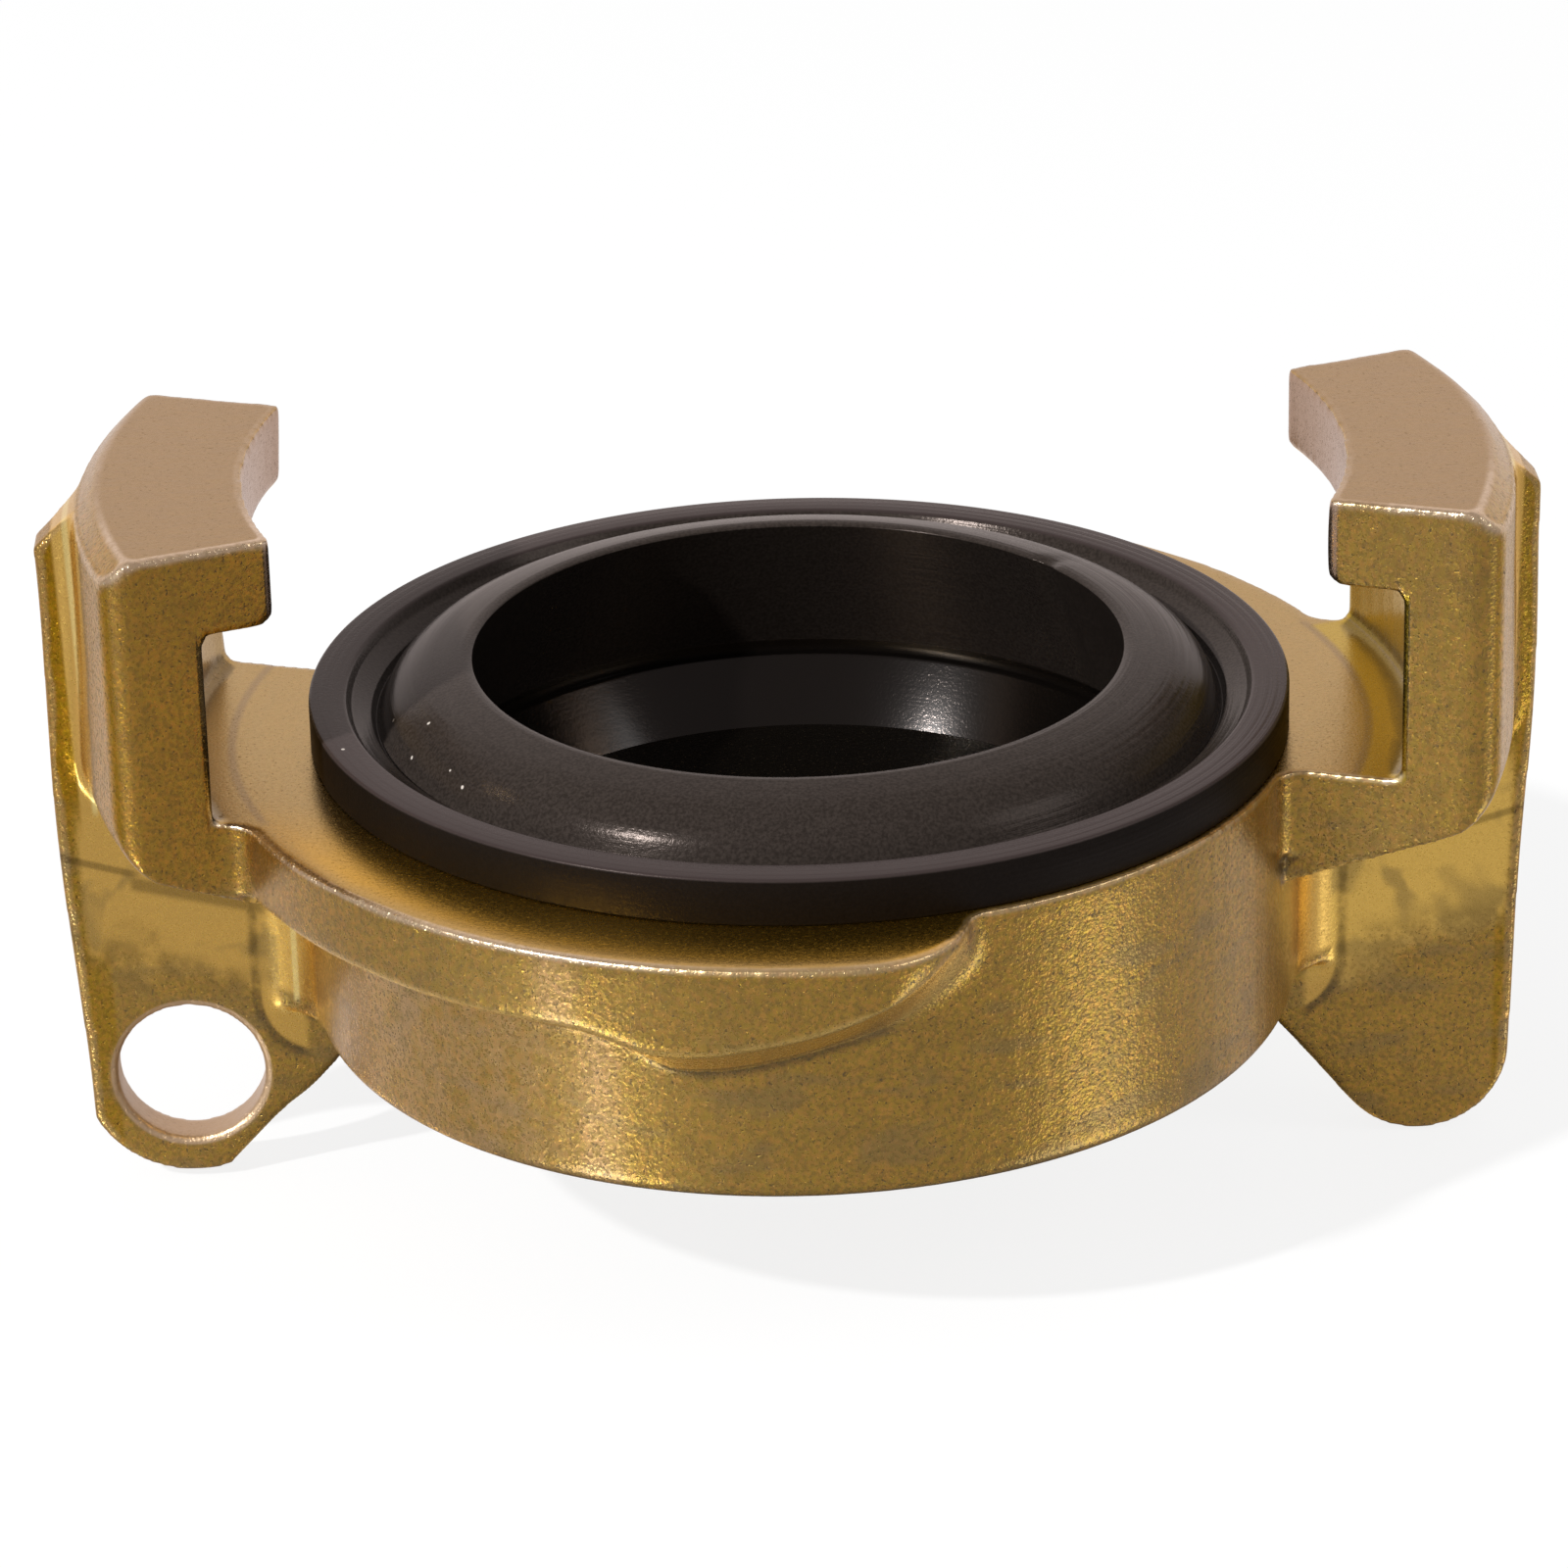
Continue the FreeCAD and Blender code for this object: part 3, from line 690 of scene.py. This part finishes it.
def brassFinish():
    look = brassLook
    material = bpy.data.materials.new("tumbledBrass")
    bench = Bench(material)
    where, surface = placeOnPiece(bench, brassZones)
    addTextures(bench, where, surface)
    addLengths(surface)
    addMasks(surface)
    grain, pits, smooth = surface["grain"], surface["pits"], surface["smooth"]
    rough = look["rough"] + (grain - 0.5) * 0.2 + pits * 0.15
    rough = rough - surface["onRoot"] * 0.05 + surface["inEye"] * 0.2
    rough = rough + surface["edge"] * surface.at("roughRim") * 0.1
    relief = grain * 0.6 + surface["dents"] * 0.7 + surface["mottle"] * 0.4 - pits * 0.5
    normal = bench.add("ShaderNodeBump", None, {
        "Strength": look["bumpStrength"], "Distance": look["bump"],
        "Height": relief * (1.0 - smooth * 0.8)})
    shader = bench.add("ShaderNodeBsdfPrincipled", None, {
        "Base Color": brassShade(bench, surface), "Metallic": 1.0, "Roughness": rough,
        "Normal": normal, "Coat Roughness": look["filmRough"],
        "Coat Weight": (1.0 - smooth.most(surface.at("noFilm"))) * look["film"]})
    bench.add("ShaderNodeOutputMaterial", None, {"Surface": shader})
    return material


rubberLook = {
    "shade": (0.016, 0.0125, 0.0105), "worn": (0.03, 0.0235, 0.020),
    # the first colour on the next line is painted shade for the lip's side and inside the mouth, the
    # second a painted sheen on the lip's top
    "paintedShade": (0.002, 0.0015, 0.0012), "lipSheen": (0.032, 0.0235, 0.0225),
    "speck": (0.5, 0.45, 0.4), "speckSize": (0.08, 0.045),
    "specks": [(-13.16, -5.12, 1.33), (-11.88, -7.21, 1.75), (-11.46, -8.10, 1.50),
               (-15.44, -4.87, 1.62), (-13.81, -2.37, 1.54), (-12.56, -4.33, 2.22)],
    "shine": 0.085,           # specular level; the grazing sheen stays
    "shineTint": (1.0, 0.82, 0.74, 1.0),
    "rough": 0.17,
    "wetness": 0.32, "wetRough": 0.15,      # coat on the inside
    "grain": (9.0, 2.0, 0.6),               # scale, detail and roughness of the noises
    "rings": (6.0, 3.0, 0.6),
    "ringSlant": 0.4,         # how much the rings go by height besides radius
    "bumpStrength": 0.35, "bump": 0.00004,  # bump in metres
}

rubberZones = {
    "worn": {"grain": (0.3, 0.7)},
    "lipSide": {"radius": (16.3, 16.5), "height": (1.62, 1.5)},
    "lipTop": {"radius": (15.3, 15.5), "height": (1.5, 1.6)},
    "inside": {"radius": (13.5, 13.3), "height": (-2.4, -2.6)},
    "overhang": {"radius": (13.55, 13.4), "facing": (0.1, -0.1)},
    "scored": {"x": (2.0, 10.0), "height": (0.5, 1.0)},
}


def rubberFinish():
    look = rubberLook
    material = bpy.data.materials.new("blackRubber")
    bench = Bench(material)
    where, surface = placeOnPiece(bench, rubberZones)
    at = surface.at
    grain = surface["grain"] = bench.noise(where, *look["grain"])
    section = {0: surface["radius"], 1: surface["height"] * look["ringSlant"]}
    rings = bench.noise(bench.add("ShaderNodeCombineXYZ", None, section), *look["rings"])
    lipSide, inside = at("lipSide"), at("inside")
    shade = bench.mix(at("worn"), look["shade"], look["worn"])
    # painted shade on the side of the lip
    shade = bench.mix(lipSide * 0.9, shade, look["paintedShade"])
    # painted sheen on the top of the lip
    shade = bench.mix(at("lipTop"), shade, look["lipSheen"])
    # painted shade inside the mouth and under its overhang
    shade = bench.mix(inside.most(at("overhang") * 0.6), shade, look["paintedShade"])
    for place in look["specks"]:
        reach = bench.vector("DISTANCE", where, place)
        shade = bench.mix(reach.ramp(*look["speckSize"]), shade, look["speck"])
    normal = bench.add("ShaderNodeBump", None, {
        "Strength": look["bumpStrength"], "Distance": look["bump"],
        "Height": grain * 0.5 + rings * (0.8 + at("scored") * 1.6 - inside * 0.5)})
    shader = bench.add("ShaderNodeBsdfPrincipled", None, {
        "Base Color": shade, "Roughness": look["rough"] + grain * 0.08 + lipSide * 0.25 - inside * 0.06,
        "Normal": normal, "Specular IOR Level": look["shine"], "Specular Tint": look["shineTint"],
        "Coat Weight": inside * look["wetness"], "Coat Roughness": look["wetRough"]})
    bench.add("ShaderNodeOutputMaterial", None, {"Surface": shader})
    return material


def paint(piece, material):
    piece.data.materials.clear()
    piece.data.materials.append(material)


studio = {
    "floorHeight": -16.35,
    "floorSize": 3000.0,
    "key": {"azimuth": 52, "elevation": 38, "distance": 700, "size": 32, "power": 6.7},
    "fill": {"azimuth": -70, "elevation": 35, "distance": 700, "size": 300, "power": 0.9},
    "worldDiffuse": 0.5,      # strength of the plain light all round
    "glossTint": (1.0, 0.86, 0.82),         # the room and the floor as the metal shows them
    "frontGloss": 0.45,       # how bright the room in front shows in the metal
    "floorFront": 0.52,       # how bright the floor in front shows in the metal
    "floorBack": 1.0,         # and the floor behind
    "capShadow": 0.78,         # how much darker the floor is under the cap: a painted shadow in what the metal mirrors
    "underReach": (17.0, 19.5),             # half lengths of that shade
    "underBlur": (1.35, 0.95),              # where it starts and is full, in those lengths
    "floorTurn": 20.0,        # from the front floor to the floor behind, either side of x
    "floorShine": 0.55,       # share of the floor that mirrors the key lamp to the metal
    "floorRough": 0.1,
    "floorColour": (0.8, 0.8, 0.8, 1.0),
    "floorWhite": 0.85,       # share of plain white in it, so that it still takes a shadow
    "roomTurn": (0.1, 0.75),                # from the room in front to the room behind
}

camera = {
    "focalLength": 146.439,
    "sensor": 36.0,
    "clip": (0.01, 10.0),     # m
    "place": (-6.913, -200.564, 86.494),
    "heading": -1.806,
    "tilt": 23.898,           # looks down by this many degrees
    "roll": -1.456,
}


def makeCamera():
    data = bpy.data.cameras.new("camera")
    data.lens = camera["focalLength"]
    data.sensor_width = camera["sensor"]
    data.clip_start, data.clip_end = camera["clip"]
    view = bpy.data.objects.new("camera", data)
    bpy.context.scene.collection.objects.link(view)
    turn = (Matrix.Rotation(math.radians(camera["heading"]), 4, "Z")
            @ Matrix.Rotation(math.radians(90 - camera["tilt"]), 4, "X")
            @ Matrix.Rotation(math.radians(camera["roll"]), 4, "Z"))
    view.matrix_world = Matrix.Translation(Vector(camera["place"]) * mm) @ turn
    bpy.context.scene.camera = view


def makeLamp(name):
    # The azimuth is counted from the front (-Y) towards the left (-X)
    facts = studio[name]
    data = bpy.data.lights.new(name + "Lamp", "AREA")
    data.shape = "DISK"
    data.size = facts["size"] * mm
    data.energy = facts["power"]
    lamp = bpy.data.objects.new(name + "Lamp", data)
    bpy.context.scene.collection.objects.link(lamp)
    azimuth = math.radians(facts["azimuth"])
    elevation = math.radians(facts["elevation"])
    towards = Vector((-math.sin(azimuth) * math.cos(elevation),
                      -math.cos(azimuth) * math.cos(elevation), math.sin(elevation)))
    lamp.location = towards * facts["distance"] * mm
    lamp.rotation_euler = towards.to_track_quat("Z", "Y").to_euler()
    lamp.visible_camera = False


def makeFloor():
    deselectAll()
    bpy.ops.mesh.primitive_plane_add(size=studio["floorSize"] * mm,
                                     location=(0, 0, studio["floorHeight"] * mm))
    floor = bpy.context.active_object
    floor.name = "floor"
    material = bpy.data.materials.new("whiteFloor")
    bench = Bench(material)
    ray = bench.add("ShaderNodeLightPath")
    mirrored = bench.other(ray, "Is Glossy Ray")
    seen = bench.other(ray, "Is Camera Ray").most(mirrored)
    place = bench.add("ShaderNodeTexCoord", output="Object")
    y = bench.add("ShaderNodeSeparateXYZ", None, {0: place}, "Y")
    turn = studio["floorTurn"] * mm
    tone = y.ramp(-turn, turn) * (studio["floorBack"] - studio["floorFront"]) + studio["floorFront"]
    reachX, reachY = studio["underReach"]
    spread = bench.vector("LENGTH", bench.vector(
        "MULTIPLY", place, (1 / (reachX * mm), 1 / (reachY * mm), 0.0)))
    # painted shadow under the cap, in what the metal mirrors
    tone = tone * (1.0 - spread.ramp(*studio["underBlur"]) * studio["capShadow"])
    tinted = bench.scaled(studio["glossTint"], tone)
    colour = bench.mix(mirrored, (1.0, 1.0, 1.0), tinted)
    matt = bench.add("ShaderNodeBsdfDiffuse", None, {"Color": studio["floorColour"]})
    glow = bench.add("ShaderNodeEmission", None, {"Color": colour})
    shine = bench.add("ShaderNodeBsdfGlossy", None, {"Roughness": studio["floorRough"]})
    surface = bench.add("ShaderNodeMixShader", None, {0: seen * studio["floorWhite"], 1: matt, 2: glow})
    surface = bench.add("ShaderNodeMixShader", None, {
        0: mirrored * studio["floorShine"], 1: surface, 2: shine})
    bench.add("ShaderNodeOutputMaterial", None, {"Surface": surface})
    paint(floor, material)


def makeWorld():
    world = bpy.data.worlds.new("studio")
    bpy.context.scene.world = world
    bench = Bench(world)
    ray = bench.add("ShaderNodeLightPath")
    byCamera = bench.other(ray, "Is Camera Ray")
    mirrored = bench.other(ray, "Is Glossy Ray").most(bench.other(ray, "Is Transmission Ray"))
    towards = bench.add("ShaderNodeTexCoord", output="Generated")
    depth = bench.add("ShaderNodeSeparateXYZ", None, {0: towards}, "Y")
    front = studio["frontGloss"]
    backdrop = front + depth.ramp(*studio["roomTurn"]) * (1.0 - front)
    seen = byCamera.most(mirrored * backdrop)
    strength = seen + (1.0 - byCamera.most(mirrored)) * studio["worldDiffuse"]
    colour = bench.mix(mirrored, (1.0, 1.0, 1.0), studio["glossTint"])
    sky = bench.add("ShaderNodeBackground", None, {"Color": colour, "Strength": strength})
    bench.add("ShaderNodeOutputWorld", None, {"Surface": sky})


body = makeBody()
print("brass body:", len(body.data.polygons), "faces")
seal = makeSeal()
print("rubber seal:", len(seal.data.polygons), "faces")
paint(body, brassFinish())
paint(seal, rubberFinish())
print("finishes are on")
makeCamera()
makeLamp("key")
makeLamp("fill")
makeFloor()
makeWorld()
bpy.context.scene.view_settings.view_transform = "Standard"
print("studio is set")
